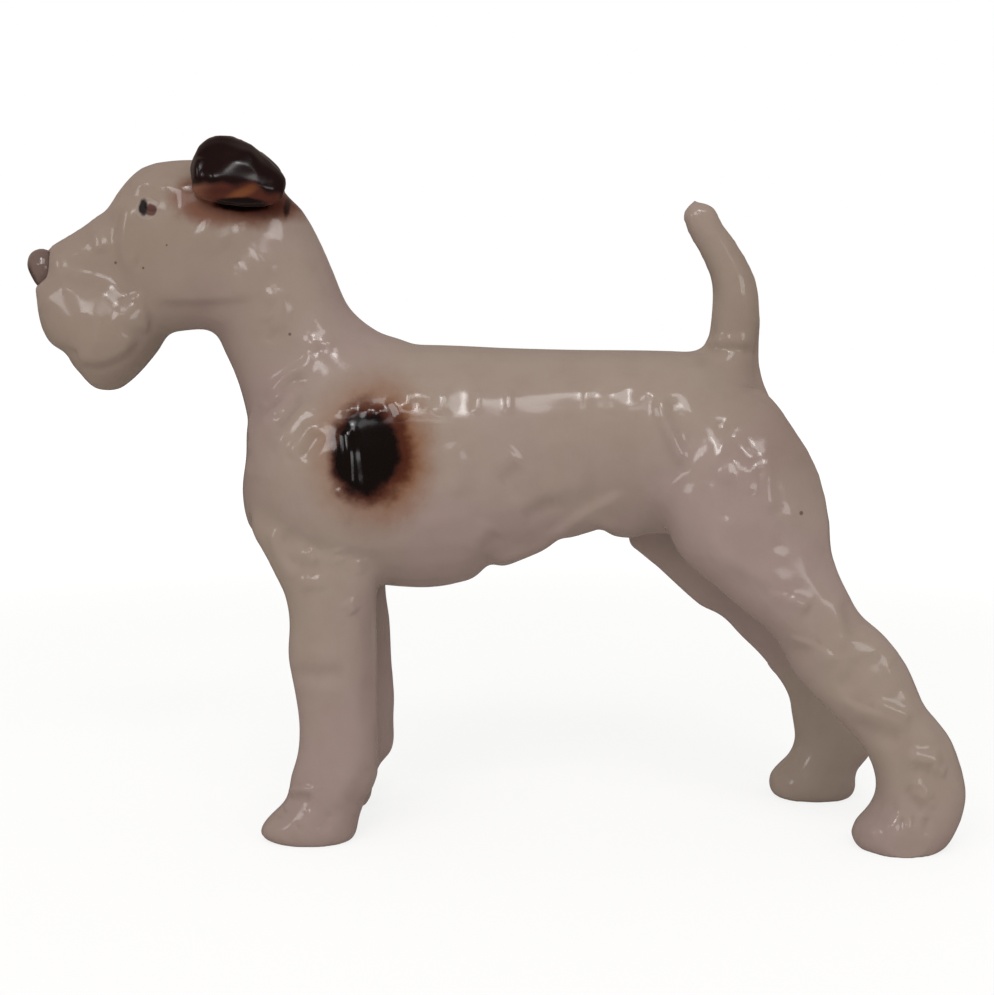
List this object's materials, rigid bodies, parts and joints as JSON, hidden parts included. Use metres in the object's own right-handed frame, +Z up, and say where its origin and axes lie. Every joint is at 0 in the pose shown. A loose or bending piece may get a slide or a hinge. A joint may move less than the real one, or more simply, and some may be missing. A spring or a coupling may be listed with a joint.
{
  "type": "porcelain dog figurine",
  "caption": "Glazed standing terrier figurine with folded ears, a bearded muzzle, an upright docked tail and flat-soled feet, a free-standing ornament.",
  "frame": {"origin": "middle of the figure's bounding box, on the surface that its four feet stand on", "axes": "+Z up; the dog faces -X, so +X runs along the body from the nose to the tail; its left side is at -Y"},
  "size_m": [0.1753, 0.0458, 0.1309],
  "materials": {
    "white_glaze": "clear glossy glaze over a warm cream-white body",
    "brown_glaze": "dark brown underglaze paint, glossy",
    "nose_glaze": "grey-brown underglaze paint, glossy",
    "eye_paint": "dark red-brown and black paint, glossy"
  },
  "bodies": {
    "root": {"body_casting": "white_glaze", "head_casting": "white_glaze", "ear_left": "brown_glaze", "ear_right": "brown_glaze", "tail": "white_glaze", "fore_leg_left": "white_glaze", "fore_leg_right": "white_glaze", "hind_leg_left": "white_glaze", "hind_leg_right": "white_glaze", "nose": "nose_glaze", "eye_left": "eye_paint", "eye_right": "eye_paint"}
  },
  "joints": []
}
